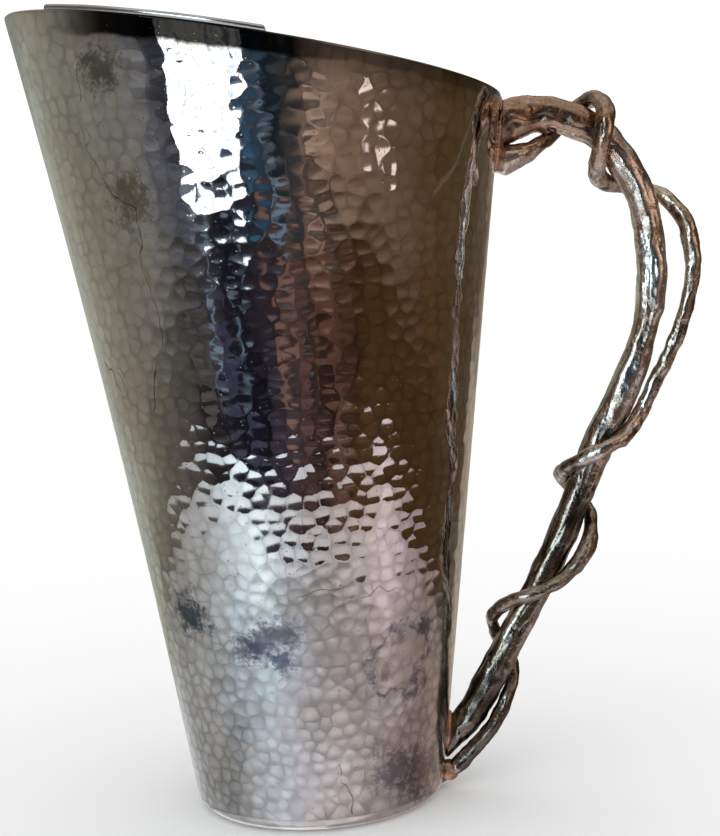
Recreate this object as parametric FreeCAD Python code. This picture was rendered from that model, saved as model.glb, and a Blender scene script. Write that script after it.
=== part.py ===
"""Silver-plated water pitcher: a hammered conical body with an oblique mouth, an ice guard across the
pouring end, and an open handle made of a cast branch with a thin vine wound three and a half times round it.

Row frame, millimetres: the origin is the centre of the underside, +Z is up, the pouring end points to -X
and the handle to +X, so the XZ plane cuts both in half.
"""
import FreeCAD
import Part

import math
import os

Vec = FreeCAD.Vector

# Body: a cone about Z whose pouring side flares out as the square of the height.
BASE_R = 38.0
HALF_ANGLE = 7.65
FLARE = 8.8
FLARE_HEIGHT = 240.0
SHEET = 1.2
CORNER_R = 5.0
CORNER_INNER_R = CORNER_R - SHEET
RING_HEIGHTS = (0, 40, 80, 120, 160, 200, 235, 262)

# Mouth: one plane, highest at the pouring end.
MOUTH_HEIGHT = 225.0
MOUTH_SLOPE = 11.5

# Base plate: a disc let into the turned-in foot of the wall, with a bead of solder inside.
PLATE_R = 32.0
BEAD_WIDTH = 3.0
BEAD_HEIGHT = 0.8

# Ice guard: a plate soldered on the mouth, from near the pouring tip to the middle.
GUARD_T = 1.7
GUARD_FRONT_X = -60.0
GUARD_BACK_X = 0.0
GUARD_EDGE_R = 0.5
TACK_R = 1.3
TACK_STATIONS_X = (-52.0, -34.0, -14.0)

# Branch: x, y, z of its centre line and its radius there, from the upper root to the lower foot.
BRANCH = (
    (62.0, 0.0, 202.0, 7.0),
    (70.5, 0.0, 204.8, 6.2),
    (78.0, 0.4, 206.0, 5.0),
    (86.0, 0.8, 203.8, 5.0),
    (94.0, 1.0, 199.8, 4.8),
    (101.0, 0.8, 192.0, 4.5),
    (106.5, 0.2, 181.5, 4.2),
    (109.8, -0.6, 168.0, 4.0),
    (109.6, -1.2, 152.0, 4.0),
    (106.6, -1.0, 137.5, 3.7),
    (100.5, -0.2, 122.5, 4.4),
    (92.5, 0.6, 106.0, 4.9),
    (85.5, 1.0, 90.5, 4.6),
    (79.0, 0.8, 76.0, 4.6),
    (71.5, 0.2, 62.5, 4.4),
    (62.5, -0.4, 47.0, 4.4),
    (55.0, -0.8, 34.0, 4.7),
    (48.0, -0.6, 22.5, 4.8),
    (42.0, 0.0, 15.5, 4.2),
    (37.0, 0.0, 11.0, 3.8),
)
# Vine: at each distance along the branch, the angle round it and the gap between the two surfaces.
# Angle 0 is the side away from the body, and +90 is the -Y side.
VINE_WRAPS = (
    (1.0, -180.0, 0.6),
    (12.0, -180.0, 2.6),
    (20.0, -170.0, 1.4),
    (25.0, -100.0, 0.4),
    (30.5, -4.0, 1.3),
    (36.5, 90.0, 0.5),
    (43.0, 150.0, 1.0),
    (50.0, 215.0, 1.2),
    (55.5, 275.0, 0.4),
    (62.0, 345.0, 1.8),
    (70.0, 360.0, 4.8),
    (80.0, 360.0, 5.7),
    (96.0, 360.0, 4.6),
    (110.0, 360.0, 2.2),
    (123.0, 365.0, 0.9),
    (131.5, 398.0, 0.4),
    (138.0, 450.0, 0.4),
    (144.5, 492.0, 0.4),
    (150.0, 550.0, 0.6),
    (154.5, 625.0, 0.4),
    (160.5, 700.0, 0.5),
    (168.5, 735.0, 1.0),
    (178.0, 760.0, 0.5),
    (187.0, 815.0, 0.4),
    (193.0, 865.0, 0.8),
    (199.5, 905.0, 1.8),
    (204.5, 948.0, 0.8),
    (209.0, 1010.0, 0.4),
    (214.0, 1055.0, 0.4),
    (223.0, 1085.0, 0.5),
    (232.0, 1105.0, 0.6),
)
# Before the first wrap the vine stands in the wall below the branch's root.
VINE_ROOT = ((60.5, 0.0, 191.6),)
# Past the last wrap the vine leaves the branch and runs down to its own foot on the wall.
VINE_FOOT = ((48.6, -2.9, 12.4), (44.2, -2.8, 7.8), (38.6, -2.4, 4.2), (36.0, -2.2, 2.6))
# Distance along the branch and the vine's radius there.
VINE_RADII = (
    (1.0, 3.0),
    (14.0, 2.3),
    (25.0, 2.1),
    (34.0, 2.7),
    (48.0, 2.8),
    (58.0, 2.1),
    (70.0, 2.6),
    (95.0, 2.2),
    (150.0, 2.2),
    (157.0, 2.0),
    (169.0, 2.7),
    (186.0, 2.1),
    (212.0, 2.0),
    (232.0, 2.4),
)
VINE_FOOT_R = 2.4
VINE_STEP = 1.5
LOFT_SPACING = 2.0

# Solder: an oval collar at the upper root, a round one at each foot, and lenses where vine meets branch.
ROOT_COLLAR = {"height": 200.0, "half_width": 7.4, "half_height": 11.5, "thickness": 2.2}
BRANCH_COLLAR = {"height": 17.0, "half_width": 5.6, "half_height": 6.4, "thickness": 1.8}
VINE_COLLAR_R = 3.2
VINE_COLLAR_AT = (39.8, -2.45, 5.2)
VINE_TACK_R = 1.5
VINE_TACK_STATIONS = (55.0, 138.0, 187.0, 211.0)


def flare_at(z):
    """Half of what the pouring side gains at height z: each ring grows and shifts by this much."""
    return FLARE / 2 * (z / FLARE_HEIGHT) ** 2


def wall_radius(z):
    return BASE_R + z * math.tan(math.radians(HALF_ANGLE)) + flare_at(z)


def wall_ring(z, inset):
    centre = Vec(-flare_at(z), 0, z)
    return Part.Wire(Part.makeCircle(wall_radius(z) - inset, centre))


def cup(inset, floor, corner_r):
    """The solid inside the wall's surface set in by inset, from floor up, with a rounded bottom corner."""
    heights = [floor] + [z for z in RING_HEIGHTS if z > floor]
    solid = Part.makeLoft([wall_ring(z, inset) for z in heights], True)
    bottom = [e for e in solid.Edges if e.BoundBox.ZMax < floor + 0.01]
    return solid.makeFillet(corner_r, bottom)


def above_mouth(offset):
    """A block that fills everything more than offset above the mouth plane."""
    size = 400.0
    block = Part.makeBox(size, size, size, Vec(-size / 2, -size / 2, 0))
    turn = FreeCAD.Rotation(Vec(0, 1, 0), MOUTH_SLOPE)
    normal = turn.multVec(Vec(0, 0, 1))
    block.Placement = FreeCAD.Placement(Vec(0, 0, MOUTH_HEIGHT) + normal * offset, turn)
    return block


def mouth_z(x):
    return MOUTH_HEIGHT - x * math.tan(math.radians(MOUTH_SLOPE))


def body_wall(outer, inner):
    """Hammered sheet raised to a cone, its foot turned in to carry the base plate."""
    shell = outer.cut(inner).cut(above_mouth(0))
    hole = Part.makeCylinder(PLATE_R, 3 * SHEET, Vec(0, 0, -SHEET))
    return shell.cut(hole)


def base_plate():
    return Part.makeCylinder(PLATE_R, SHEET)


def base_solder_ring():
    """A low bead inside the pitcher over the joint of wall and base plate."""
    rise = Part.Arc(
        Vec(PLATE_R - BEAD_WIDTH / 2, 0, SHEET),
        Vec(PLATE_R, 0, SHEET + BEAD_HEIGHT),
        Vec(PLATE_R + BEAD_WIDTH / 2, 0, SHEET),
    ).toShape()
    flat = Part.makeLine(rise.Vertexes[1].Point, rise.Vertexes[0].Point)
    section = Part.Face(Part.Wire([rise, flat]))
    return section.revolve(Vec(0, 0, 0), Vec(0, 0, 1), 360)


def ice_guard(outer):
    """A plate on the mouth that holds ice back and leaves a slot at the pouring tip."""
    slab = outer.common(above_mouth(0)).cut(above_mouth(GUARD_T))
    reach = 120.0
    span = Part.makeBox(GUARD_BACK_X - GUARD_FRONT_X, 2 * reach, 2 * reach, Vec(GUARD_FRONT_X, -reach, reach))
    plate = slab.common(span)
    top_middle = mouth_z(0) + GUARD_T / math.cos(math.radians(MOUTH_SLOPE))
    slope = math.tan(math.radians(MOUTH_SLOPE))
    upper = [e for e in plate.Edges if all(abs(v.Z + v.X * slope - top_middle) < 0.01 for v in e.Vertexes)]
    return plate.makeFillet(GUARD_EDGE_R, upper)


def guard_tacks(wall, guard):
    """Beads of solder under the guard's edge, three to a side, inside the mouth."""
    beads = []
    for x in TACK_STATIONS_X:
        z = mouth_z(x)
        radius = wall_radius(z) - SHEET
        y = math.sqrt(radius**2 - (x + flare_at(z)) ** 2)
        for side in (-1, 1):
            bead = Part.makeSphere(TACK_R, Vec(x, side * (y - 0.2), z - 0.2))
            beads.append(bead.cut(wall).cut(guard).Solids[0])
    return Part.makeCompound(beads)


def through(points):
    curve = Part.BSplineCurve()
    curve.interpolate(points)
    return curve


def follow(table, column, at):
    """Smooth value of one column of a table between its rows, with no overshoot."""
    xs = [row[0] for row in table]
    ys = [row[column] for row in table]
    if at >= xs[-1]:
        return ys[-1]
    i = max(k for k in range(len(xs) - 1) if xs[k] <= max(at, xs[0]))
    slopes = [(ys[k + 1] - ys[k]) / (xs[k + 1] - xs[k]) for k in range(len(xs) - 1)]

    def tangent(k):
        if k in (0, len(xs) - 1):
            return slopes[0] if k == 0 else slopes[-1]
        before, after = slopes[k - 1], slopes[k]
        return 0.0 if before * after <= 0 else 2 * before * after / (before + after)

    span = xs[i + 1] - xs[i]
    t = (max(at, xs[0]) - xs[i]) / span
    rise = ys[i] * (1 + 2 * t) * (1 - t) ** 2 + ys[i + 1] * t * t * (3 - 2 * t)
    return rise + span * (tangent(i) * t * (1 - t) ** 2 - tangent(i + 1) * t * t * (1 - t))


def rod(curve, radius_at):
    """A closed solid of short cones between round sections square to a curve, with no twist along it."""
    length = curve.length()
    count = round(length / LOFT_SPACING)
    side = None
    sections = []
    for i in range(count + 1):
        at = curve.parameterAtDistance(length * i / count, curve.FirstParameter)
        centre, along = curve.value(at), curve.tangent(at)[0]
        side = along.cross(Vec(0, 1, 0)) if side is None else side - along * side.dot(along)
        side.normalize()
        circle = Part.makeCircle(radius_at(length * i / count))
        circle.Placement = FreeCAD.Placement(centre, FreeCAD.Rotation(side, along.cross(side), along, "ZXY"))
        sections.append(Part.Wire(circle))
    return Part.makeLoft(sections, True, True)


class Branch:
    """The thick branch's centre line, with its radius and its frame at any distance along it."""

    def __init__(self):
        points = [Vec(x, y, z) for x, y, z, _ in BRANCH]
        self.curve = through(points)
        self.radii = []
        for point, row in zip(points, BRANCH):
            at = self.curve.parameter(point)
            self.radii.append((self.curve.length(self.curve.FirstParameter, at), row[3]))

    def radius(self, distance):
        return follow(self.radii, 1, distance)

    def frame(self, distance):
        """Centre, the direction away from the body, and the direction to the -Y side."""
        at = self.curve.parameterAtDistance(distance, self.curve.FirstParameter)
        along = self.curve.tangent(at)[0]
        outward = along.cross(Vec(0, 1, 0)).normalize()
        return self.curve.value(at), outward, along.cross(outward).normalize()

    def beside(self, distance, angle, away):
        """The point at an angle round the branch whose distance from its centre is away."""
        centre, outward, front = self.frame(distance)
        turn = math.radians(angle)
        return centre + outward * (away * math.cos(turn)) + front * (away * math.sin(turn))


def vine_curve(branch):
    """The vine's centre line, and a table of vine length against distance along the branch."""
    points, stations = [], []
    distance, last = VINE_WRAPS[0][0], VINE_WRAPS[-1][0]
    while distance <= last:
        away = branch.radius(distance) + follow(VINE_RADII, 1, distance) + follow(VINE_WRAPS, 2, distance)
        points.append(branch.beside(distance, follow(VINE_WRAPS, 1, distance), away))
        stations.append(distance)
        distance += VINE_STEP
    curve = through([Vec(*p) for p in VINE_ROOT] + points + [Vec(*p) for p in VINE_FOOT])
    lengths = [curve.length(curve.FirstParameter, curve.parameter(p)) for p in points]
    return curve, list(zip(lengths, stations))


def vine_rod(branch):
    curve, stations = vine_curve(branch)

    def radius(length):
        if length > stations[-1][0]:
            return VINE_FOOT_R
        return follow(VINE_RADII, 1, follow(stations, 1, length))

    return rod(curve, radius)


def wall_collar(collar):
    """An oval dome of solder lying on the handle side of the wall."""
    z = collar["height"]
    dome = Part.makeSphere(1.0)
    stretch = FreeCAD.Matrix()
    stretch.scale(Vec(collar["thickness"], collar["half_width"], collar["half_height"]))
    dome = dome.transformGeometry(stretch)
    lean = FreeCAD.Rotation(Vec(0, 1, 0), HALF_ANGLE)
    dome.Placement = FreeCAD.Placement(Vec(wall_radius(z) - flare_at(z), 0, z), lean)
    return dome


def biggest(shape):
    return max(shape.Solids, key=lambda s: s.Volume)


def vine_tacks(branch, branch_solid, vine_solid):
    """Small lenses of solder in the crevice where the vine crosses the branch."""
    lenses = []
    for distance in VINE_TACK_STATIONS:
        away = branch.radius(distance) + follow(VINE_WRAPS, 2, distance) / 2
        middle = branch.beside(distance, follow(VINE_WRAPS, 1, distance), away)
        lenses.append(biggest(Part.makeSphere(VINE_TACK_R, middle).cut(branch_solid).cut(vine_solid)))
    return Part.makeCompound(lenses)


def build():
    outer = cup(0.0, 0.0, CORNER_R)
    inner = cup(SHEET, SHEET, CORNER_INNER_R)
    wall = body_wall(outer, inner)
    guard = ice_guard(outer)

    branch = Branch()
    branch_solid = biggest(rod(branch.curve, branch.radius).cut(outer))
    vine_solid = biggest(vine_rod(branch).cut(outer))

    rods = (outer, branch_solid, vine_solid)
    root = wall_collar(ROOT_COLLAR)
    foot = wall_collar(BRANCH_COLLAR)
    vine_foot = Part.makeSphere(VINE_COLLAR_R, Vec(*VINE_COLLAR_AT))
    collars = {}
    for name, blob in (("root_solder", root), ("branch_foot_solder", foot), ("vine_foot_solder", vine_foot)):
        for solid in rods:
            blob = blob.cut(solid)
        collars[name] = biggest(blob)

    return {
        "body_wall": wall,
        "base_plate": base_plate(),
        "base_solder_ring": base_solder_ring(),
        "ice_guard": guard,
        "guard_solder_tacks": guard_tacks(wall, guard),
        "handle_branch": branch_solid,
        "handle_vine": vine_solid,
        "vine_solder_tacks": vine_tacks(branch, branch_solid, vine_solid),
        **collars,
    }


os.makedirs("parts", exist_ok=True)
for node, shape in build().items():
    print(node, len(shape.Solids), "solids,", round(shape.Volume), "mm3, valid", shape.isValid())
    shape.exportStep("parts/" + node + ".step")
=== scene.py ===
"""Looks of the hammered silver pitcher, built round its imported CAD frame.

Blender units are metres. Shapes are worked out in millimetres and scaled once, when a mesh is made.
+Z is up, the pouring end points to -X and the handle to +X.
"""

import heapq
import math
import random

import bmesh
import bpy
import numpy as np
from mathutils import Matrix, Vector, kdtree, noise


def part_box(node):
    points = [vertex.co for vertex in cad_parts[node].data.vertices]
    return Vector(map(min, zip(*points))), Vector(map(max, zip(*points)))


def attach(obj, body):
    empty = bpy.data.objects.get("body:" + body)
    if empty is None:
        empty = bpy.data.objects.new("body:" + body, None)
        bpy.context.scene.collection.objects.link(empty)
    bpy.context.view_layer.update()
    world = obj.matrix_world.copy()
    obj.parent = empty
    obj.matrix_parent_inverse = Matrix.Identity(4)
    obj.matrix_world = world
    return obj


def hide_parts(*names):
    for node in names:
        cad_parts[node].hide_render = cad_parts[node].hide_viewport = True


MM = 0.001

# Sheet and foot of the wall, as the CAD has them.
SHEET = 1.2
CORNER_R = 5.0
LIP_R = SHEET / 2

# Hammer work on the wall: distance between blows, the share of it at the foot and how much more at the
# top, how far blows stray and how much they differ, and the crown radius of the hammer's face.
BLOW_SEED = 11
BLOW_PITCH = 4.9
FOOT_PITCH = 0.85
PITCH_GAIN = 0.22
BLOW_JITTER = 0.21
BLOW_UNEVEN = 1.5
CROWN_R = 84.0
# A dent's inner ring lies at this share of its outline, and is this much flatter than the dent.
DENT_RIM = 0.68
RIM_CALM = 0.25
# The hammer work fades out over this band under the rim.
CALM_BAND = 9.0
# Ridges wander this far, and the sheet between the dents buckles by this slope in lumps of this size.
WANDER = 0.8
BUCKLE = 0.009
BUCKLE_SIZE = 11.0
# Points this near to an edge are moved onto it, and points this near to each other are one.
EDGE_SNAP = 0.35
SAME_PLACE = 0.06
# Rows of points down the inside of the wall.
INSIDE_ROWS = 90

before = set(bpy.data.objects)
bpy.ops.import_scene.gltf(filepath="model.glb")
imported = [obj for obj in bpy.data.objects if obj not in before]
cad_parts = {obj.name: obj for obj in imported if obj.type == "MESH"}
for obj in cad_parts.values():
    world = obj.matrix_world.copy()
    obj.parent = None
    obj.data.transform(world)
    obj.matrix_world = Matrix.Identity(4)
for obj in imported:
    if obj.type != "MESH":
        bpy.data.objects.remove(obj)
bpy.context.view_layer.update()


# ---- CAD meshes, read in millimetres

def triples(items, key, kind=float):
    """A three-part value of every item, as rows."""
    numbers = np.empty(len(items) * 3, kind)
    items.foreach_get(key, numbers)
    return numbers.reshape(-1, 3)


def node_mesh(node):
    """Vertices, vertex normals and triangles of a CAD node."""
    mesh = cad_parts[node].data
    mesh.calc_loop_triangles()
    points, normals = triples(mesh.vertices, "co"), triples(mesh.vertex_normals, "vector")
    return points / MM, normals, triples(mesh.loop_triangles, "vertices", int)


def node_graph(node):
    """A node's distinct points, and for each the points that share a triangle edge with it."""
    points, _, triangles = node_mesh(node)
    distinct, index = np.unique(points.round(3), axis=0, return_inverse=True)
    index = index.reshape(-1)
    near = [set() for _ in distinct]
    for a, b, c in index[triangles]:
        near[a].update((b, c))
        near[b].update((a, c))
        near[c].update((a, b))
    return distinct, near


# ---- The wall as a formula

def unit(rows):
    return rows / np.linalg.norm(rows, axis=-1, keepdims=True)


class Wall:
    """The wall's outer surface. The ring at height z has radius(z) and is shifted to -X by bend * z^2."""

    def __init__(self):
        points, normals, _ = node_mesh("body_wall")
        left = points[points[:, 0].argmin()]
        right = points[points[:, 0].argmax()]
        self.mouth_slope = (left[2] - right[2]) / (right[0] - left[0])
        self.mouth_height = left[2] + self.mouth_slope * left[0]
        outward = (normals * points)[:, :2].sum(1) > 0
        side = outward & (abs(normals[:, 2]) < 0.5) & (points[:, 2] > 2 * CORNER_R)
        self.fit(points[side])
        self.apex = self.foot / self.slope
        self.lean = math.atan(self.slope)

    def fit(self, points):
        """Least squares for the foot radius, the slope and the bend, by Newton steps from a plain cone."""
        x, y, z = points.T
        self.foot, self.slope, self.bend = 38.0, 0.13, 0.0
        for _ in range(6):
            along = x + self.bend * z**2
            reach = np.hypot(along, y)
            error = reach - self.radius(z)
            columns = np.stack([-np.ones_like(z), -z, along * z**2 / reach - z**2], 1)
            step = np.linalg.lstsq(columns, -error, rcond=None)[0]
            self.foot, self.slope, self.bend = np.array([self.foot, self.slope, self.bend]) + step

    def radius(self, z):
        return self.foot + self.slope * z + self.bend * z**2

    def point(self, turn, z):
        ring = self.radius(z)
        return np.stack([ring * np.cos(turn) - self.bend * z**2, ring * np.sin(turn), z], -1)

    def normal(self, turn, z):
        tilt = -self.slope - 2 * self.bend * z * (1 - np.cos(turn))
        return unit(np.stack([np.cos(turn), np.sin(turn), tilt], -1))

    def directions(self, turn, z):
        """The ways out of the surface, round it and up it."""
        outward = self.normal(turn, z)
        around = level_ring(turn + math.pi / 2, 1.0, 0.0)
        return outward, around, np.cross(outward, around)

    def mouth(self, turn, drop=0.0):
        """Height at which a generator meets the plane that lies drop below the mouth."""
        z = np.full_like(np.asarray(turn, float), self.mouth_height)
        for _ in range(12):
            z = self.mouth_height - drop - self.mouth_slope * self.point(turn, z)[..., 0]
        return z

    def unroll(self, turn, z):
        """Where a point of the surface lands when the cone is rolled out flat."""
        slant = (self.apex + z) / math.cos(self.lean)
        angle = turn * math.sin(self.lean)
        return np.stack([slant * np.cos(angle), slant * np.sin(angle)], -1)

    def roll(self, flat):
        slant = np.hypot(flat[..., 0], flat[..., 1])
        angle = np.arctan2(flat[..., 1], flat[..., 0])
        return angle / math.sin(self.lean), slant * math.cos(self.lean) - self.apex


def level_ring(turn, reach, height):
    """Points round the Z axis, at one angle each."""
    return np.stack(np.broadcast_arrays(reach * np.cos(turn), reach * np.sin(turn), height), -1)


wall = Wall()
# The rounded bottom corner starts at this height on the wall and ends at this radius on the floor.
CORNER_TANGENT = CORNER_R * math.tan((math.pi / 2 - wall.lean) / 2)
CORNER_TOP = CORNER_TANGENT * math.cos(wall.lean)
CORNER_CENTRE = wall.foot - CORNER_TANGENT


# ---- Mesh building

class Skin:
    """A mesh in the making: points with optional normals, and faces."""

    def __init__(self):
        self.points = []
        self.normals = {}
        self.faces = []

    def add(self, points):
        first = len(self.points)
        self.points.extend(tuple(p) for p in points)
        return list(range(first, len(self.points)))

    def stitch(self, lower, upper, closed=True):
        """Quads between two rows of the same count."""
        count = len(lower)
        for i in range(count if closed else count - 1):
            j = (i + 1) % count
            self.faces.append((lower[i], lower[j], upper[j], upper[i]))

    def extend(self, row, points):
        """Adds a row of points and joins it to the row before."""
        fresh = self.add(points)
        self.stitch(row, fresh)
        return fresh

    def zip_rings(self, lower, upper):
        """Triangles between two rings of different counts, by angle about Z."""
        def turn(index):
            x, y, _ = self.points[index]
            return math.atan2(y, x) % (2 * math.pi)

        low, high = sorted(lower, key=turn), sorted(upper, key=turn)
        passed = sorted([(turn(k), "low") for k in low[1:]] + [(turn(k), "up") for k in high[1:]])
        i = j = 0
        for _, ring in [*passed, (math.inf, "low"), (math.inf, "up")]:
            if ring == "low":
                self.faces.append((low[i], low[(i + 1) % len(low)], high[j]))
                i = (i + 1) % len(low)
            else:
                self.faces.append((low[i], high[(j + 1) % len(high)], high[j]))
                j = (j + 1) % len(high)

    def build(self, name, node, slot, material, facing=(), **values):
        """Makes the object, puts it on the row's one body and lets it stand for a CAD node.

        facing has a direction for each corner of the first faces, and values are named numbers for each
        of the first points; materials read both.
        """
        mesh = bpy.data.meshes.new(name)
        mesh.from_pydata([Vector(p) * MM for p in self.points], [], self.faces)
        mesh.polygons.foreach_set("use_smooth", [True] * len(mesh.polygons))
        if self.normals:
            normals = [tuple(v.vector) for v in mesh.vertex_normals]
            for index, normal in self.normals.items():
                normals[index] = tuple(normal)
            mesh.normals_split_custom_set_from_vertices(normals)
        for key, numbers in values.items():
            padded = np.zeros(len(mesh.vertices), np.float32)
            padded[: len(numbers)] = numbers
            mesh.attributes.new(key, "FLOAT", "POINT").data.foreach_set("value", padded)
        if len(facing):
            padded = np.zeros((len(mesh.loops), 3), np.float32)
            padded[: len(facing)] = facing
            corners = mesh.attributes.new("facing", "FLOAT_VECTOR", "CORNER")
            corners.data.foreach_set("vector", padded.ravel())
        piece = bpy.data.objects.new(name, mesh)
        bpy.context.scene.collection.objects.link(piece)
        piece.data.materials.append(material)
        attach(piece, "root")
        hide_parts(node)
        return piece


def wave(point, size, seed=0.0):
    """Smooth noise from about -1 to 1 whose lumps are size millimetres across."""
    return noise.noise(Vector(point) / size + Vector((seed, 2 * seed, -seed)))


def waves(points, size, *seeds):
    """A column of smooth noise for each seed."""
    return np.array([[wave(p, size, seed) for seed in seeds] for p in points])


def fade(value, low, high):
    """0 below low, 1 above high, and smooth between."""
    t = np.clip((value - low) / (high - low), 0, 1)
    return t * t * (3 - 2 * t)


# ---- Hammered wall

def blows(draw):
    """Hammer blows in rows round the unrolled cone: their places there and their strengths.

    The blows stand closer together towards the foot.
    """
    seeds, weights = [], []
    low = math.hypot(*wall.unroll(0.0, CORNER_TOP)) - 2 * BLOW_PITCH
    high = math.hypot(*wall.unroll(0.0, wall.mouth(math.pi))) + 2 * BLOW_PITCH
    sector = 2 * math.pi * math.sin(wall.lean)
    slant = low
    while slant < high:
        pitch = BLOW_PITCH * (FOOT_PITCH + PITCH_GAIN * (slant - low) / (high - low))
        row_gap = pitch * math.sqrt(3) / 2
        count = round(sector * slant / pitch)
        start = draw.random()
        for k in range(count):
            along = slant + draw.gauss(0, BLOW_JITTER) * row_gap
            angle = (k + start + draw.gauss(0, BLOW_JITTER)) / count % 1 * sector
            seeds.append((along * math.cos(angle), along * math.sin(angle)))
            weights.append(draw.gauss(0, BLOW_UNEVEN))
        slant += row_gap
    return np.array(seeds), np.array(weights), sector


def clip(polygon, normal, limit):
    """The part of a convex polygon where p . normal <= limit."""
    kept = []
    for p, q in zip(polygon, polygon[1:] + polygon[:1]):
        over_p = p[0] * normal[0] + p[1] * normal[1] - limit
        over_q = q[0] * normal[0] + q[1] * normal[1] - limit
        if over_p <= 0:
            kept.append(p)
        if over_p * over_q < 0:
            t = over_p / (over_p - over_q)
            kept.append((p[0] + t * (q[0] - p[0]), p[1] + t * (q[1] - p[1])))
    return kept


def rooms(flat):
    """How far places of the unrolled wall lie below the rim's edge and above the bottom corner."""
    turn, z = wall.roll(flat)
    return wall.mouth(turn, LIP_R) - z, z - CORNER_TOP


def mirror_images(seeds, weights):
    """Blows mirrored in the rim's edge and in the corner's top, so that the dents end there."""
    step = 0.5
    moved = [rooms(seeds + step * axis) for axis in np.eye(2)]
    for edge, room in enumerate(rooms(seeds)):
        slope = np.stack([(ahead[edge] - room) / step for ahead in moved], -1)
        near = room < 2 * BLOW_PITCH
        image = seeds - 2 * (room / (slope**2).sum(1))[:, None] * slope
        yield image[near], weights[near]


def blow_outlines(seeds, weights, sector):
    """For each blow that lands on the wall, the outline of its dent about its own centre."""
    landed = np.min(rooms(seeds), axis=0) > 0.5
    seeds, weights = seeds[landed], weights[landed]
    mirrored, their_weights = zip(*mirror_images(seeds, weights))
    around = np.concatenate([seeds, *mirrored])
    strengths = np.tile(np.concatenate([weights, *their_weights]), 3)
    copies = []
    for turn in (-sector, 0.0, sector):
        c, s = math.cos(turn), math.sin(turn)
        copies.append(around @ np.array([[c, s], [-s, c]]))
    everyone = np.concatenate(copies)
    reach = 2.2 * BLOW_PITCH
    square = [(-reach, -reach), (reach, -reach), (reach, reach), (-reach, reach)]
    for seed, weight in zip(seeds, weights):
        away = everyone - seed
        square_gap = (away**2).sum(1)
        nearest = np.argpartition(square_gap, 24)[:24]
        outline = square
        for k in nearest:
            if square_gap[k] > 1e-9:
                outline = clip(outline, 2 * away[k], square_gap[k] - strengths[k] + weight)
        if len(outline) > 2:
            yield seed, weight, outline


def split_edges(outline, longest=1.9):
    points = []
    for p, q in zip(outline, outline[1:] + outline[:1]):
        count = max(1, round(math.dist(p, q) / longest))
        for k in range(count):
            t = k / count
            points.append((p[0] + t * (q[0] - p[0]), p[1] + t * (q[1] - p[1])))
    return points


def blow_depth(turn, z):
    """How strongly the hammer worked here: less high up and near the rim, and uneven over the wall."""
    at_rim = fade(wall.mouth(turn) - z, 1.0, CALM_BAND)
    to_handle = 0.5 + 0.5 * np.cos(turn + 0.5)
    uneven = waves(wall.point(turn, z), 28.0, 3.1)[:, 0]
    return at_rim * (0.72 + 0.35 * to_handle + 0.4 * uneven) * (1 - 0.15 * fade(z, 110.0, 190.0))


def rounded(border):
    """A ring inside an outline about the origin, rounder than it."""
    reach = np.linalg.norm(border, axis=1, keepdims=True)
    return border * DENT_RIM * np.minimum(reach.mean() / reach, 1.25)


def hammered_skin(skin):
    """Adds the wall's outer face: one shallow dent per blow, meeting its neighbours in soft ridges.

    Returns the rings of points at the rim and at the bottom corner, every point's ridge value, and for
    every corner of a face the way its own dent faces there.
    """
    flat, pull, ridge, faces = [], [], [], []
    for seed, weight, outline in blow_outlines(*blows(random.Random(BLOW_SEED))):
        border = np.array(split_edges(outline))
        centre = border.mean(0)
        local = np.concatenate([border, centre + rounded(border - centre), [centre]])
        first, count = len(flat), len(border)
        flat.extend(seed + local)
        pull.extend(np.column_stack([local, (local**2).sum(1) - weight]))
        ridge.extend([1.0] * count + [DENT_RIM] * count + [0.0])
        for i in range(count):
            j = (i + 1) % count
            outer_i, outer_j, inner_i, inner_j = first + i, first + j, first + count + i, first + count + j
            faces.append((outer_i, inner_i, inner_j, outer_j))
            faces.append((inner_j, inner_i, first + 2 * count))
    flat, pull, ridge = np.array(flat), np.array(pull), np.array(ridge)

    turn, z = wall.roll(flat)
    sway = waves(wall.point(turn, z), 6.5, 1.7, 8.3)
    top = wall.mouth(turn, LIP_R)
    room = WANDER * fade(z - CORNER_TOP, 0, 4) * fade(top - z, 0, 4)
    at_rim, at_corner = abs(top - z) < EDGE_SNAP, abs(z - CORNER_TOP) < EDGE_SNAP
    turn = turn + sway[:, 0] * room / wall.radius(z)
    z = z + sway[:, 1] * room
    z = np.where(at_corner, CORNER_TOP, z)
    z = np.where(at_rim, wall.mouth(turn, LIP_R), z)

    depth = blow_depth(turn, z) / (2 * CROWN_R)
    normal, around, upward = wall.directions(turn, z)
    slant = np.arctan2(flat[:, 1], flat[:, 0])
    buckle = waves(wall.point(turn, z), BUCKLE_SIZE, 4.4, 6.6)
    buckle *= BUCKLE * fade(top - z, 0, 9)[:, None]
    up_slope = 2 * (pull[:, 0] * np.cos(slant) + pull[:, 1] * np.sin(slant)) * depth
    side_slope = 2 * (pull[:, 1] * np.cos(slant) - pull[:, 0] * np.sin(slant)) * depth
    relief = (pull[:, 2] - 0.5 * (BLOW_PITCH / 2) ** 2) * depth
    points = wall.point(turn, z) + normal * relief[:, None]
    calm = normal - buckle[:, :1] * upward - buckle[:, 1:] * around
    facing = calm - up_slope[:, None] * upward - side_slope[:, None] * around

    same = merged(points, ridge == 1)
    shared = np.where((ridge == DENT_RIM)[:, None], facing + RIM_CALM * (calm - facing), facing)
    for index, target in enumerate(same):
        if index != target:
            shared[target] += facing[index]
    kept = np.flatnonzero(same == np.arange(len(same)))
    place = np.zeros(len(same), int)
    place[kept] = skin.add(points[kept])
    skin.normals.update(zip(place[kept], unit(shared[kept])))
    corner_facing = []
    for face in faces:
        corners = {int(place[same[k]]): facing[k] for k in face}
        if len(corners) > 2:
            skin.faces.append(tuple(corners))
            corner_facing.extend(corners.values())

    rim, corner = open_rings(skin)
    return rim, corner, ridge[kept], corner_facing


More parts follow.
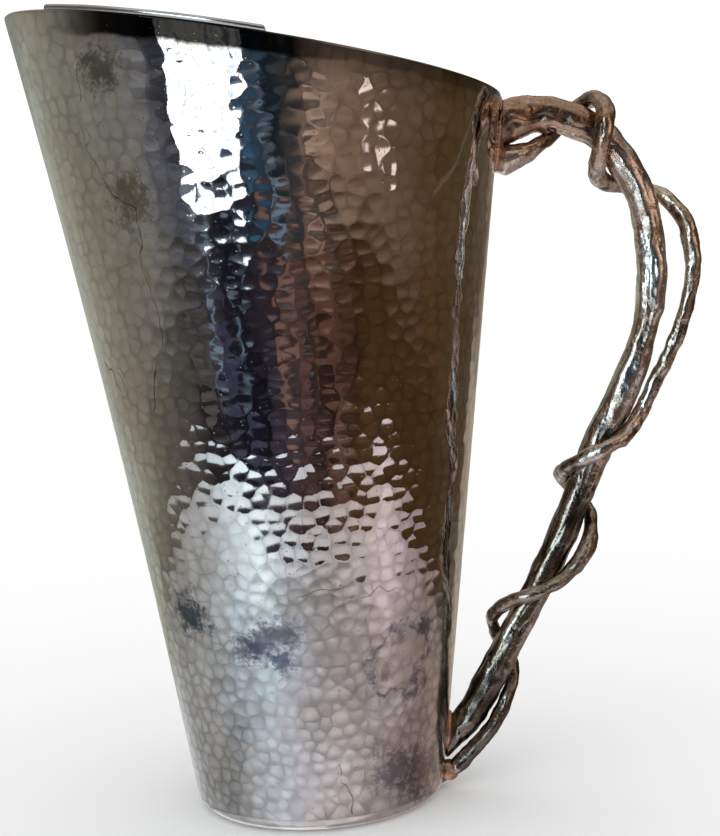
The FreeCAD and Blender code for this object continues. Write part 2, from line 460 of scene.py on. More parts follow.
def open_rings(skin):
    """The points on edges with one face, in order of angle: the rim's, and the bottom corner's."""
    edges = {(a, b) for face in skin.faces for a, b in zip(face, face[1:] + face[:1])}
    loose = sorted({k for a, b in edges if (b, a) not in edges for k in (a, b)})
    turn = dict(zip(loose, angles_of(skin, loose) % (2 * math.pi)))
    ordered = sorted(loose, key=turn.get)
    halfway = wall.mouth_height / 2
    rim = [k for k in ordered if skin.points[k][2] > halfway]
    corner = [k for k in ordered if skin.points[k][2] < halfway]
    return rim, corner


def tree_of(points, chosen):
    """A search tree of the chosen points."""
    tree = kdtree.KDTree(len(chosen))
    for index in chosen:
        tree.insert(points[index], int(index))
    tree.balance()
    return tree


def merged(points, shared):
    """For each point the first point that lies in the same place; only shared points are looked at."""
    same = np.arange(len(points))
    tree = tree_of(points, np.flatnonzero(shared))
    for index in np.flatnonzero(shared):
        if same[index] == index:
            for _, other, _ in tree.find_range(points[index], SAME_PLACE):
                if other > index and same[other] == other:
                    same[other] = index
    return same


def angles_of(skin, ring):
    """Each ring point's angle about the wall's own axis at its height."""
    points = np.array([skin.points[k] for k in ring])
    return np.arctan2(points[:, 1], points[:, 0] + wall.bend * points[:, 2] ** 2)


def wall_piece(material):
    skin = Skin()
    rim, corner, ridge, facing = hammered_skin(skin)

    # Lip: half a round over the sheet's edge.
    turn = angles_of(skin, rim)
    edge = np.array([skin.points[k] for k in rim])
    outward, _, upward = wall.directions(turn, edge[:, 2])
    row = rim
    for angle in np.radians((40, 80, 115, 150, 180)):
        lip = edge - outward * LIP_R + LIP_R * (outward * math.cos(angle) + upward * math.sin(angle))
        row = skin.extend(row, lip)

    # Inside: the back of the hammered sheet, softly uneven, down to the inner corner.
    outer_count = len(skin.points)
    inner_top = edge[:, 2]
    for step in range(1, INSIDE_ROWS + 1):
        z = inner_top + (CORNER_TOP - inner_top) * step / INSIDE_ROWS
        outer = wall.point(turn, z)
        swell = 0.1 * waves(outer, 3.2, 5.0) + 0.12 * waves(outer, 14.0, 2.0)
        calm = fade(inner_top - z, 0, 5) * fade(z - CORNER_TOP, 0, 5)
        row = skin.extend(row, outer - wall.normal(turn, z) * (SHEET + swell * calm[:, None]))
    inner_r = CORNER_R - SHEET
    for angle in np.radians((-25, -45, -65, -90)):
        reach = CORNER_CENTRE + inner_r * math.cos(angle)
        row = skin.extend(row, level_ring(turn, reach, CORNER_R + inner_r * math.sin(angle)))
    plate_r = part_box("base_plate")[1].x / MM
    inner_foot = skin.extend(row, level_ring(turn, plate_r, SHEET))
    inside = np.arange(len(skin.points)) >= outer_count

    # Outside corner: the hammer work fades out round it.
    turn = angles_of(skin, corner)
    start = np.array([skin.points[k] for k in corner])
    relief = np.hypot(start[:, 0], start[:, 1]) - wall.radius(CORNER_TOP)
    row = corner
    for angle in np.radians((-20, -34, -48, -62, -76, -90)):
        outer_r = CORNER_R + relief * (1 + math.degrees(angle) / 90)
        reach = CORNER_CENTRE + outer_r * math.cos(angle)
        fresh = skin.add(level_ring(turn, reach, CORNER_R + outer_r * math.sin(angle)))
        skin.stitch(fresh, row)
        row = fresh
    outer_foot = skin.add(level_ring(turn, plate_r, 0.0))
    skin.stitch(outer_foot, row)
    skin.zip_rings(inner_foot, outer_foot)

    values = {"ridge": ridge, "inside": inside}
    skin.build("hammered_wall", "body_wall", "hammered_silver", material, facing, **values)


# ---- Handle

# Distance between points of a rod's centre line: while it is looked for, and once it is found.
SEARCH_GAP = 2.0
LINE_GAP = 0.8


def travelled(line):
    """How far along a line each of its points lies."""
    return np.concatenate([[0], np.cumsum(np.linalg.norm(np.diff(line, axis=0), axis=1))])


def centre_line(node):
    """A bent rod's centre line, a point every SEARCH_GAP, from its wall root to its foot.

    Points are first sorted by their distance along the mesh, then squared up to the line they suggest.
    """
    points, near = node_graph(node)
    on_wall = abs(wall_gap(points)) < 0.3
    along = np.full(len(points), np.inf)
    roots = np.flatnonzero(on_wall & (points[:, 2] > wall.mouth_height / 2))
    queue = [(0.0, int(k)) for k in roots]
    along[roots] = 0.0
    while queue:
        distance, at = heapq.heappop(queue)
        if distance > along[at]:
            continue
        for other in near[at]:
            reached = distance + math.dist(points[at], points[other])
            if reached < along[other] - 1e-6:
                along[other] = reached
                heapq.heappush(queue, (reached, other))
    gap = SEARCH_GAP
    for _ in range(4):
        stops = np.arange(gap, along.max() - gap / 2, gap)
        line = smoothed(np.array([points[abs(along - s) < 1.2 * gap].mean(0) for s in stops]), 1)
        apart = np.linalg.norm(points[:, None] - line[None], axis=2)
        apart[abs(along[:, None] - stops[None]) > 8 * gap] = np.inf
        closest = apart.argmin(1)
        ahead = unit(np.gradient(line, axis=0))
        offset = ((points - line[closest]) * ahead[closest]).sum(1)
        along = gap + travelled(line)[closest] + offset
    return line


def wall_gap(points):
    """Distance of points outside the wall's outer surface."""
    ring = np.hypot(points[:, 0] + wall.bend * points[:, 2] ** 2, points[:, 1])
    return (ring - wall.radius(points[:, 2])) * math.cos(wall.lean)


def smoothed(rows, times):
    for _ in range(times):
        inner = (rows[:-2] + 2 * rows[1:-1] + rows[2:]) / 4
        rows = np.concatenate([rows[:1], inner, rows[-1:]])
    return rows


def resampled(line):
    """The line as a smooth curve with a point every LINE_GAP millimetres."""
    travel = travelled(line)
    stops = np.arange(0, travel[-1], LINE_GAP)
    fine = np.column_stack([np.interp(stops, travel, column) for column in line.T])
    return smoothed(fine, round(SEARCH_GAP / LINE_GAP) ** 2)


def drop_crumbs(shape, fewest=60):
    """Removes the small loose shells that a remesh leaves beyond a thin edge."""
    crumbs = []
    left = set(shape.verts)
    while left:
        shell = []
        growing = [left.pop()]
        while growing:
            vertex = growing.pop()
            shell.append(vertex)
            beside = {edge.other_vert(vertex) for edge in vertex.link_edges} & left
            left -= beside
            growing.extend(beside)
        if len(shell) < fewest:
            crumbs.extend(shell)
    bmesh.ops.delete(shape, geom=crumbs, context="VERTS")
    shape.verts.index_update()


def even_copy(node, voxel, rounds):
    """A CAD node's shape as an even, softened mesh: a bmesh in millimetres."""
    source = bpy.data.objects.new(node + "_copy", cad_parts[node].data.copy())
    bpy.context.scene.collection.objects.link(source)
    even = source.modifiers.new("even", "REMESH")
    even.mode = "VOXEL"
    even.voxel_size = voxel * MM
    view = bpy.context.evaluated_depsgraph_get()
    mesh = bpy.data.meshes.new_from_object(source.evaluated_get(view))
    shape = bmesh.new()
    shape.from_mesh(mesh)
    drop_crumbs(shape)
    bmesh.ops.scale(shape, vec=(1 / MM,) * 3, verts=shape.verts)
    every_way = {"use_axis_x": True, "use_axis_y": True, "use_axis_z": True}
    for _ in range(rounds):
        bmesh.ops.smooth_vert(shape, verts=shape.verts, factor=0.5, **every_way)
    shape.normal_update()
    bpy.data.objects.remove(source)
    bpy.data.meshes.remove(mesh)
    return shape


def places_in(shape):
    return np.array([vertex.co for vertex in shape.verts])


def worked_piece(name, node, slot, material, shape, lift):
    """Builds a piece from a bmesh, each point moved along its normal by its lift."""
    normals = np.array([vertex.normal for vertex in shape.verts])
    skin = Skin()
    skin.add(places_in(shape) + normals * lift[:, None])
    for face in shape.faces:
        skin.faces.append(tuple(vertex.index for vertex in face.verts))
    shape.free()
    skin.build(name, node, slot, material, relief=lift)


def cast_rod(name, node, material, voxel, shape_of):
    """A cast rod: the CAD's rod, with the lumps that shape_of gives in terms of travel and angle."""
    line = resampled(centre_line(node))
    ahead = unit(np.gradient(line, axis=0))
    sides = [np.cross(ahead[0], (0, 1, 0))]
    for forward in ahead[1:]:
        sides.append(unit(sides[-1] - forward * sides[-1].dot(forward)))
    others = np.cross(ahead, sides)
    tree = tree_of(line, range(len(line)))
    even = even_copy(node, voxel, 8)
    places = places_in(even)
    lift = []
    for place in places:
        k = tree.find(place)[1]
        offset = place - line[k]
        angle = math.atan2(offset.dot(others[k]), offset.dot(sides[k]))
        travel = k * LINE_GAP + offset.dot(ahead[k])
        lift.append(shape_of(place, travel, angle))
    lift = np.array(lift) * fade(wall_gap(places), 0.3, 3.5)
    worked_piece(name, node, "cast_silver", material, even, lift)


def soldered(name, node, material, voxel, swell, rough):
    """Solder: the CAD's shape, swollen a little and lumpy."""
    even = even_copy(node, voxel, 4)
    places = places_in(even)
    lumps = waves(places, 2.4, 3.0) + 0.5 * waves(places, 0.9, 7.0)
    worked_piece(name, node, "solder", material, even, swell + rough * lumps[:, 0])


def crease(value, width):
    """1 on a noise's zero line and 0 away from it: a wandering thin line."""
    return max(0.0, 1 - abs(value) / width)


def branch_shape(place, travel, angle):
    """Lumps, long ridges and cracks of a cast branch."""
    lump = 0.65 * wave(place, 11.0, 1.0) + 0.45 * wave(place, 5.0, 4.0) + 0.15 * wave(place, 2.2, 7.0)
    grain = np.array((travel / 26.0, 1.5 * math.cos(angle), 1.5 * math.sin(angle)))
    long_ridges = 0.42 * wave(grain, 1.0, 12.0) + 0.16 * wave(grain * (2, 2.3, 2.3), 1.0, 5.0)
    grooves = -0.4 * crease(wave(grain, 1.0, 31.0), 0.05)
    knob = 1.1 * math.exp(-((travel - 13.0) / 4.0) ** 2 - ((angle_gap(angle, math.pi)) / 0.8) ** 2)
    middle = 0.5 * math.exp(-(((travel - 75.0) / 35.0) ** 2))
    return 0.1 + 0.85 * lump + long_ridges + grooves + knob + middle


def vine_shape(place, travel, angle):
    """Lumps and flats of the thinner cast vine, thicker where it leaves the wall."""
    lump = 0.44 * wave(place, 6.5, 2.0) + 0.34 * wave(place, 3.2, 6.0) + 0.1 * wave(place, 1.3, 9.0)
    grain = np.array((travel / 15.0, 1.2 * math.cos(angle), 1.2 * math.sin(angle)))
    root = 1.5 * math.exp(-((travel / 9.0) ** 2))
    return 0.1 + lump + 0.3 * wave(grain, 1.0, 21.0) - 0.25 * crease(wave(grain, 1.0, 44.0), 0.05) + root


def angle_gap(a, b):
    return (a - b + math.pi) % (2 * math.pi) - math.pi


# ---- Guard, base and solder

GUARD_EDGE = 0.8


def stations(low, high, count, edge=GUARD_EDGE):
    """Places from low to high, crowded at both ends so that a rounded edge has enough rows."""
    near = edge * np.array([0.0, 0.04, 0.16, 0.36, 0.64, 1.0])
    middle = np.linspace(low + edge, high - edge, count)[1:-1]
    return np.concatenate([low + near, middle, high - near[::-1]])


def guard_piece(material):
    """The ice guard: a plate across the mouth with rounded edges, planished a little uneven."""
    low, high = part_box("ice_guard")
    mouth_tilt = math.atan(wall.mouth_slope)
    upright = np.array([math.sin(mouth_tilt), 0.0, math.cos(mouth_tilt)])
    top_front = wall.mouth_height - wall.mouth_slope * low.x / MM
    thickness = (high.z / MM - top_front) * math.cos(mouth_tilt)
    rows_x = stations(low.x / MM, high.x / MM, 44)
    across = stations(-1.0, 1.0, 90, edge=GUARD_EDGE / 60)
    upper, lower = [], []
    for x in rows_x:
        z = wall.mouth_height - wall.mouth_slope * x
        half = math.sqrt(wall.radius(z) ** 2 - (x + wall.bend * z**2) ** 2)
        for t in across:
            place = np.array([x, t * half, z])
            slant = half / wall.radius(z)
            inset = min(x - rows_x[0], rows_x[-1] - x, (1 - abs(t)) * half * slant)
            drop = GUARD_EDGE - min(inset, GUARD_EDGE)
            rounding = GUARD_EDGE - math.sqrt(GUARD_EDGE**2 - drop**2)
            swell = (0.1 * wave(place, 13.0, 3.0) + 0.035 * wave(place, 4.5, 8.0)) * min(1.0, inset / 3)
            upper.append(place + upright * (thickness - rounding + swell))
            lower.append(place + upright * 0.05)
    skin = Skin()
    top, bottom = skin.add(upper), skin.add(lower)
    wide, long = len(across), len(rows_x)
    for i in range(long - 1):
        for j in range(wide - 1):
            a, b = i * wide + j, (i + 1) * wide + j
            skin.faces.append((top[a], top[b], top[b + 1], top[a + 1]))
            skin.faces.append((bottom[a], bottom[a + 1], bottom[b + 1], bottom[b]))
    border = list(range(wide))
    border += [i * wide + wide - 1 for i in range(1, long)]
    border += [(long - 1) * wide + j for j in range(wide - 2, -1, -1)]
    border += [i * wide for i in range(long - 2, 0, -1)]
    skin.stitch([top[k] for k in border], [bottom[k] for k in border])
    skin.build("planished_guard", "ice_guard", "smooth_silver", material)


def turned_piece(name, node, slot, material, profile, segments, uneven):
    """A ring or disc turned about Z from a closed profile of (radius, height), with uneven work on it."""
    skin = Skin()
    rows = []
    for reach, height in profile:
        if reach == 0:
            rows.append(skin.add([(0.0, 0.0, height)]) * segments)
            continue
        row = []
        for i in range(segments):
            angle = 2 * math.pi * i / segments
            place = np.array([reach * math.cos(angle), reach * math.sin(angle), height])
            row.append(place + uneven(place))
        rows.append(skin.add(row))
    for lower, upper in zip(rows, rows[1:]):
        skin.stitch(lower, upper)
    if profile[0][0]:
        skin.stitch(rows[-1], rows[0])
    skin.faces = [tuple(dict.fromkeys(face)) for face in skin.faces]
    skin.build(name, node, slot, material)


def base_pieces(plate_material, solder_material):
    """The bottom disc, a little hollow underneath so that it stands on its rim, and the solder inside."""
    reach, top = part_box("base_plate")[1].x / MM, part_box("base_plate")[1].z / MM
    hollow = 0.35
    rings = np.linspace(0, reach - 0.4, 26)
    under = [(float(r), hollow * (1 - (r / reach) ** 2)) for r in rings]
    over = [(float(r), top) for r in rings[::-1]]
    profile = under + [(reach - 0.12, 0.05), (reach - 0.02, 0.3), (reach - 0.02, top)] + over

    def planished(place):
        inside = fade(reach - math.hypot(place[0], place[1]), 0.5, 4)
        return np.array([0, 0, 0.1 * inside * wave(place * (1, 1, 0.05), 7.0, 6.0)])

    turned_piece("dished_base", "base_plate", "smooth_silver", plate_material, profile, 96, planished)

    low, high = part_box("base_solder_ring")
    middle, half, rise = reach, high.x / MM - reach, (high.z - low.z) / MM
    angles = np.linspace(0, math.pi, 9)
    bead = [(middle + half * math.cos(a), top + rise * math.sin(a)) for a in angles]
    bead += [(middle - half * 0.6, top - 0.05), (middle + half * 0.6, top - 0.05)]

    def run(place):
        lump = 0.22 * wave(place, 3.0, 4.0) + 0.15 * wave(place, 8.0, 2.0)
        return np.array([0, 0, max(lump, -0.3) if place[2] > top + 0.05 else 0.0])

    turned_piece("solder_bead", "base_solder_ring", "solder", solder_material, bead, 260, run)


# ---- Node graphs

def operator(operation, swapped=False):
    """What Python does for an operator between a Value and a Value or number: it adds a math node."""
    def apply(self, other):
        values = (other, self) if swapped else (self, other)
        return self.graph.math(operation, *values)

    return apply


class Value:
    """A number, vector or colour in a node tree. Arithmetic and the calls below add nodes to the tree."""

    def __init__(self, graph, socket):
        self.graph = graph
        self.socket = socket

    __add__ = __radd__ = operator("ADD")
    __sub__ = operator("SUBTRACT")
    __rsub__ = operator("SUBTRACT", swapped=True)
    __mul__ = __rmul__ = operator("MULTIPLY")
    __gt__ = operator("GREATER_THAN")
    __lt__ = operator("LESS_THAN")

    def __abs__(self):
        return self.graph.math("ABSOLUTE", self)

    def step(self, low, high):
        """0 below low, 1 above high, smooth between; low may be the larger, which turns it round."""
        inputs = {"Value": self, "From Min": low, "From Max": high}
        return self.graph.value("ShaderNodeMapRange", inputs, interpolation_type="SMOOTHSTEP")

    def between(self, low, high, soft):
        """1 from low to high, with soft edges."""
        return self.step(low - soft, low + soft) * self.step(high + soft, high - soft)

    def vector(self, operation, *others, output="Vector"):
        inputs = dict(enumerate((self, *others)))
        return self.graph.value("ShaderNodeVectorMath", inputs, output, operation=operation)

    def dot(self, other):
        return self.vector("DOT_PRODUCT", other, output="Value")

    def scaled(self, factors):
        return self.vector("MULTIPLY", factors)

    def parts(self):
        split = self.graph.node("ShaderNodeSeparateXYZ", {0: self})
        return [Value(self.graph, part) for part in split.outputs]

    def noise(self, scale, detail=2.0, rough=0.5, warp=0.0):
        inputs = {"Vector": self, "Scale": scale, "Detail": detail, "Roughness": rough, "Distortion": warp}
        return self.graph.value("ShaderNodeTexNoise", inputs, "Fac")

    def cells(self, scale, output):
        return self.graph.value("ShaderNodeTexVoronoi", {"Vector": self, "Scale": scale}, output)


class Graph:
    """Adds nodes to a node tree. What goes into a node is a Value or a plain number."""

    def __init__(self, tree):
        self.tree = tree
        tree.nodes.clear()

    def node(self, kind, inputs=None, **settings):
        made = self.tree.nodes.new(kind)
        for key, value in settings.items():
            setattr(made, key, value)
        for key, value in (inputs or {}).items():
            if isinstance(value, Value):
                self.tree.links.new(value.socket, made.inputs[key])
            else:
                made.inputs[key].default_value = value
        return made

    def value(self, kind, inputs=None, output=0, **settings):
        """One output of a new node."""
        return Value(self, self.node(kind, inputs, **settings).outputs[output])

    def math(self, operation, *values):
        return self.value("ShaderNodeMath", dict(enumerate(values)), operation=operation)

    def attribute(self, name, output="Fac"):
        return self.value("ShaderNodeAttribute", output=output, attribute_name=name)


def mix(share, a, b):
    """The colour a where share is 0 and b where it is 1."""
    return share.graph.value("ShaderNodeMix", {0: share, 6: colour(a), 7: colour(b)}, 2, data_type="RGBA")


def colour(value):
    """A grey, a three-part colour or a Value, as a colour input takes it."""
    if isinstance(value, Value):
        return value
    red, green, blue = value if isinstance(value, tuple) else (value, value, value)
    return (red, green, blue, 1.0)


def new_material(name):
    material = bpy.data.materials.new(name)
    material.use_nodes = True
    graph = Graph(material.node_tree)
    return material, graph, graph.value("ShaderNodeNewGeometry", output="Position")


def metal(graph, tint, roughness, height, strength, facing=None, bare=1.0):
    """Ends a metal's tree: its colour, roughness, a bump from a height in metres, and how bare it is."""
    bumps = {"Height": height, "Strength": strength, "Distance": 1.0}
    if facing:
        bumps["Normal"] = facing
    bump = graph.value("ShaderNodeBump", bumps)
    inputs = {"Base Color": tint, "Metallic": bare, "Roughness": roughness, "Normal": bump}
    graph.node("ShaderNodeOutputMaterial", {"Surface": graph.value("ShaderNodeBsdfPrincipled", inputs)})


SILVER = (0.88, 0.88, 0.88)
WARM_SILVER = (0.78, 0.73, 0.68)
OLIVE_TARNISH = (0.52, 0.49, 0.41)
BROWN_TARNISH = (0.3, 0.2, 0.13)
BLUE_TARNISH = (0.1, 0.13, 0.2)
COPPER = (0.72, 0.4, 0.24)
# Soot-dark grey for cracks, tarnish in the cast creases and grainy specks, and also for painted shade on
# the dents' ridges and under the rim.
SOOT_AND_SHADE = (0.05, 0.045, 0.04)
# Near-black for the painted dark reflection band under the rim.
RIM_PAINTED_DARK = (0.0015, 0.002, 0.0025)
# Dull grey for random dull patches, and for the painted shade round the dents.
DULL_GREY_AND_DENT_SHADE = (0.22, 0.2, 0.19)


def on_front(turn, height):
    """A place on the wall, in metres, turn degrees round from its front towards the handle."""
    return tuple(wall.point(np.radians(turn - 90.0), np.float64(height)) * MM)


# Bruises in the plate: place and size in metres, and colour.
BRUISES = (
    (on_front(-45.0, 66.0), 0.007, (0.01, 0.04, 0.06)),
    (on_front(-23.0, 57.0), 0.005, (0.14, 0.14, 0.18)),
    (on_front(-15.0, 58.5), 0.0058, (0.11, 0.115, 0.16)),
    (on_front(-8.0, 61.0), 0.005, (0.2, 0.19, 0.21)),
    (on_front(-9.0, 54.0), 0.004, (0.14, 0.14, 0.2)),
    (on_front(28.5, 47.0), 0.0034, (0.07, 0.07, 0.12)),
    (on_front(35.0, 57.0), 0.0028, (0.07, 0.07, 0.12)),
    (on_front(48.0, 58.0), 0.003, (0.07, 0.08, 0.12)),
    (on_front(37.0, 17.0), 0.0075, (0.22, 0.21, 0.24)),
    (on_front(52.0, 12.0), 0.009, (0.24, 0.22, 0.25)),
    (on_front(-36.0, 220.0), 0.006, (0.16, 0.18, 0.15)),
    (on_front(-35.0, 185.0), 0.007, (0.3, 0.28, 0.21)),
)
# A scoured patch with a dark border: its middle and its size.
SCOURED = (on_front(37.0, 50.0), 0.01)
# Cracks and folds in the plate: the ends of each one, and how dark it is.
CRACKS = (
    ((-43.0, 222.0), (-45.5, 201.0), 0.6),
    ((-45.5, 201.0), (-34.0, 178.0), 0.6),
    ((-34.0, 178.0), (-32.0, 152.0), 0.6),
    ((-32.0, 152.0), (-44.0, 127.0), 0.7),
    ((-66.0, 149.0), (-59.0, 131.0), 0.9),
    ((-58.0, 136.0), (-50.0, 127.0), 0.9),
    ((-2.0, 72.0), (17.0, 76.5), 0.35),
    ((20.0, 70.0), (33.0, 74.0), 0.35),
    ((9.0, 21.0), (11.0, 5.0), 0.6),
)
SCRATCH = ((44.0, 182.0), (61.0, 205.0))


def ragged_distance(place, centre, size, wobble, strength):
    """How far a place is from a centre, in sizes, with an edge that a noise makes ragged."""
    away = place.vector("DISTANCE", centre, output="Value")
    return away * (1 / size) + (wobble - 0.5) * strength


def wandering_line(place, ends, wander, width):
    """1 on a thin line across the wall between two places on it, given as turn and height."""
    start, end = [Vector(on_front(turn, height)) for turn, height in ends]
    turn, height = np.mean(ends, axis=0)
    outward = Vector(wall.normal(np.radians(turn - 90.0), height))
    ahead = (end - start).normalized()

    def reach(direction):
        return place.dot(direction) - start.dot(direction)

    aside = abs(reach(ahead.cross(outward).normalized()) + wander)
    line = aside.step(width, 0.3 * width) * (reach(outward) > -0.02)
    return line * reach(ahead).between(0.0, (end - start).length, 0.0004)


def dent_facing(graph, ridge):
    """The way the wall faces: as its dent does, turning softly to the mesh's normal at the ridges."""
    own = graph.attribute("facing", "Vector")
    own = graph.value("ShaderNodeVectorTransform", {"Vector": own}, vector_type="NORMAL")
    share = ridge.step(1.0, 0.3) * (own.dot(own) > 0.5)
    smooth = graph.value("ShaderNodeNewGeometry", output="Normal")
    mixed = graph.value("ShaderNodeMix", {0: share, 4: smooth, 5: own}, 1, data_type="VECTOR")
    return mixed.vector("NORMALIZE")


def with_dent_shade(tint, place, ridge, low_half):
    """Painted shade round the dents: darker towards each dent's outline, with broken dark outlines and
    thin dark lines on the ridges, all stronger in the lower half; and random dull patches.
    """
    patchy = place.noise(210.0, 2.0).step(0.38, 0.62)
    tint = mix(patchy * (0.06 + low_half * 0.16), tint, DULL_GREY_AND_DENT_SHADE)
    # Painted shade: darker from each dent's middle out to its outline.
    hollow = ridge.step(0.15, 0.95)
    tint = mix(hollow * (0.05 + low_half * 0.16), tint, DULL_GREY_AND_DENT_SHADE)
    broken = 0.25 + place.noise(130.0, 3.0, 0.6).step(0.42, 0.6) * 0.75
    # Painted shade: a broken dark band along each dent's outline.
    outline = ridge.step(0.6, 0.9) * broken
    tint = mix(outline * (0.31 - low_half * 0.02), tint, DULL_GREY_AND_DENT_SHADE)
    # Painted shade: a thin dark line on the ridges, in patches.
    ridge_line_shade = ridge.step(0.93, 1.0) * place.noise(48.0, 3.0).step(0.54, 0.62)
    return mix(ridge_line_shade * low_half * 0.48, tint, SOOT_AND_SHADE)


def with_bruises(tint, place, grain):
    """Granular dark bruises, and the scoured patch with its dark border."""
    mottle = place.noise(230.0, 5.0, 0.72, 0.3)
    for centre, size, shade in BRUISES:
        ragged = ragged_distance(place, centre, size, mottle, 3.8) + grain * 1.6
        tint = mix(ragged.step(2.2, 1.1) * 0.85, tint, shade)
    patch = ragged_distance(place, *SCOURED, place.noise(95.0, 4.0, 0.65), 2.2)
    scoured = patch.step(1.05, 0.7)
    strokes = place.scaled((1.0, 1.0, 0.35)).noise(520.0, 2.0).step(0.42, 0.62)
    tint = mix(scoured * strokes * 0.55, tint, WARM_SILVER)
    tint = mix(scoured * 0.5, tint, OLIVE_TARNISH)
    border = patch.between(0.92, 1.12, 0.16) * mottle.step(0.36, 0.56)
    return mix(border * 0.88, tint, (0.09, 0.09, 0.13))


def with_rim_painted_dark(tint, place, stain):
    """Painted dark reflection: a near-black band under the rim along the front, paler towards the handle
    and least at the pouring end; and a painted soft shadow under the rim.
    """
    across, depth, up = place.parts()
    below_rim = across * -wall.mouth_slope - up + wall.mouth_height * MM + (stain - 0.5) * 0.004
    paler = across.step(-0.006, 0.03)
    # Painted dark reflection: a near-black band under the rim, on the front half only.
    painted_dark_band = (below_rim + paler * 0.0022).step(0.0065, 0.0051)
    painted_dark_band = painted_dark_band * across.step(-0.06, -0.042) * depth.step(0.0, -0.02)
    tint = mix(painted_dark_band * (1.0 - paler * 0.55), tint, RIM_PAINTED_DARK)
    # Painted shadow: a soft dark band under the rim.
    shadow = below_rim.step(0.011, 0.004) * across.step(-0.065, -0.045)
    return mix(shadow * 0.35, tint, SOOT_AND_SHADE)


def dull_inside(place, stain):
    """The colour of the wall's inside, with old water marks in bands round it, and how bare it is."""
    bands = place.scaled((0.4, 0.4, 1.6)).noise(60.0, 4.0, 0.6)
    tint = mix(bands.step(0.35, 0.65), (0.5, 0.48, 0.45), (0.3, 0.27, 0.23))
    tint = mix(stain.step(0.55, 0.7) * 0.6, tint, (0.2, 0.17, 0.14))
    return tint, 0.7 - bands * 0.35


def hammered_silver():
    material, graph, place = new_material("hammered_silver")
    across, _, up = place.parts()
    ridge, inside = graph.attribute("ridge"), graph.attribute("inside")
    cloud = place.noise(22.0, 4.0, 0.6)
    stain = place.noise(55.0, 5.0, 0.62, 0.6)
    grain = place.noise(900.0, 3.0, 0.6)
    worn = up.step(0.085, 0.055)

    tint = mix(cloud.step(0.4, 0.62), SILVER, WARM_SILVER)
    tint = mix(stain.step(0.58, 0.72) * 0.5, tint, OLIVE_TARNISH)
    # Painted shade round the dents.
    tint = with_dent_shade(tint, place, ridge, up.step(0.105, 0.07))
    tint = with_bruises(tint, place, grain)
    # Painted dark band and painted shadow under the rim.
    tint = with_rim_painted_dark(tint, place, stain)

    wander = (place.noise(75.0, 2.0, 0.5) - 0.5) * 0.014
    crack = 0.0
    for *ends, dark in CRACKS:
        crack = graph.math("MAXIMUM", crack, wandering_line(place, ends, wander, 0.0003) * dark)
    crack = crack * place.noise(150.0, 2.0).step(0.34, 0.46)
    tint = mix(crack, tint, SOOT_AND_SHADE)
    scratch = wandering_line(place, SCRATCH, wander * 0.8, 0.0009)
    tint = mix(scratch * 0.5, tint, SILVER)
    pit = place.cells(700.0, "Distance").step(0.3, 0.12) * grain.step(0.56, 0.64)
    tint = mix(pit * 0.6, tint, BROWN_TARNISH)

    roughness = 0.026 + cloud.step(0.45, 0.75) * 0.04 + stain.step(0.55, 0.75) * 0.08
    roughness = roughness + worn * 0.1 + across.step(-0.045, -0.07) * 0.1 + scratch * 0.25
    hairs = place.scaled((1.0, 1.0, 0.12)).noise(1800.0, 2.0)
    height = grain * (0.000001 + worn * 0.000003) + hairs * 0.000001 - (pit + crack * 3.0) * 0.000005

    dull, dull_bare = dull_inside(place, stain)
    tint = mix(inside, tint, dull)
    roughness = roughness + inside * 0.22
    bare = 1.0 + inside * (dull_bare - 1.0)
    metal(graph, tint, roughness, height, 1.0, dent_facing(graph, ridge), bare)
    return material


def cast_silver():
    """Plated casting: bright where it is handled, brown and copper in between, sooty in the creases."""
    material, graph, place = new_material("cast_silver")
    relief = graph.attribute("relief")
    up = place.parts()[2]
    cloud = place.noise(60.0, 4.0, 0.6)
    stain = place.noise(170.0, 5.0, 0.65, 0.4)
    grain = place.noise(1400.0, 4.0, 0.65)
    at_root = up.step(0.178, 0.2)
    low = (up + (cloud - 0.5) * 0.04).step(0.125, 0.085)

    tint = mix(cloud.step(0.4, 0.6), (0.82, 0.76, 0.69), (0.64, 0.52, 0.4))
    tint = mix(stain.step(0.52, 0.66) * 0.6, tint, (0.24, 0.16, 0.11))
    tint = mix(at_root * (0.3 + cloud * 0.6), tint, (0.42, 0.23, 0.13))
    # Darker towards the bottom of the handle, and darker still near its foot.
    tint = mix(low * 0.5, tint, (0.19, 0.165, 0.13))
    tint = mix(up.step(0.05, 0.028) * 0.7, tint, (0.09, 0.08, 0.065))
    worn = relief.step(0.3, 0.75) * (0.65 - at_root * 0.45)
    tint = mix(worn, tint, (0.92, 0.89, 0.84))
    tint = mix(relief.step(0.12, -0.45) * 0.92, tint, SOOT_AND_SHADE)
    tint = mix(grain.step(0.54, 0.66) * 0.5, tint, (0.1, 0.07, 0.05))

    roughness = 0.09 + cloud * 0.14 + stain.step(0.45, 0.7) * 0.14
    height = grain * 0.00006 + place.noise(420.0, 3.0) * 0.00026
    metal(graph, tint, roughness, height, 0.8)
    return material


def smooth_silver():
    """Plain plated sheet with fine scratches in all directions, dull clouds and small spots."""
    material, graph, place = new_material("smooth_silver")
    cloud = place.noise(40.0, 4.0, 0.6)
    spots = place.noise(240.0, 4.0, 0.7)
    tint = mix(cloud.step(0.3, 0.75), (0.72, 0.72, 0.72), (0.52, 0.49, 0.44))
    tint = mix(spots.step(0.58, 0.74) * 0.4, tint, BLUE_TARNISH)
    scratches = place.scaled((0.15, 1.0, 1.0)).noise(2600.0, 2.0)
    crossing = place.scaled((1.0, 0.15, 1.0)).noise(2200.0, 2.0)
    roughness = 0.06 + cloud * 0.14
    height = scratches * 0.000012 + crossing * 0.000012
    metal(graph, tint, roughness, height, 1.0)
    return material


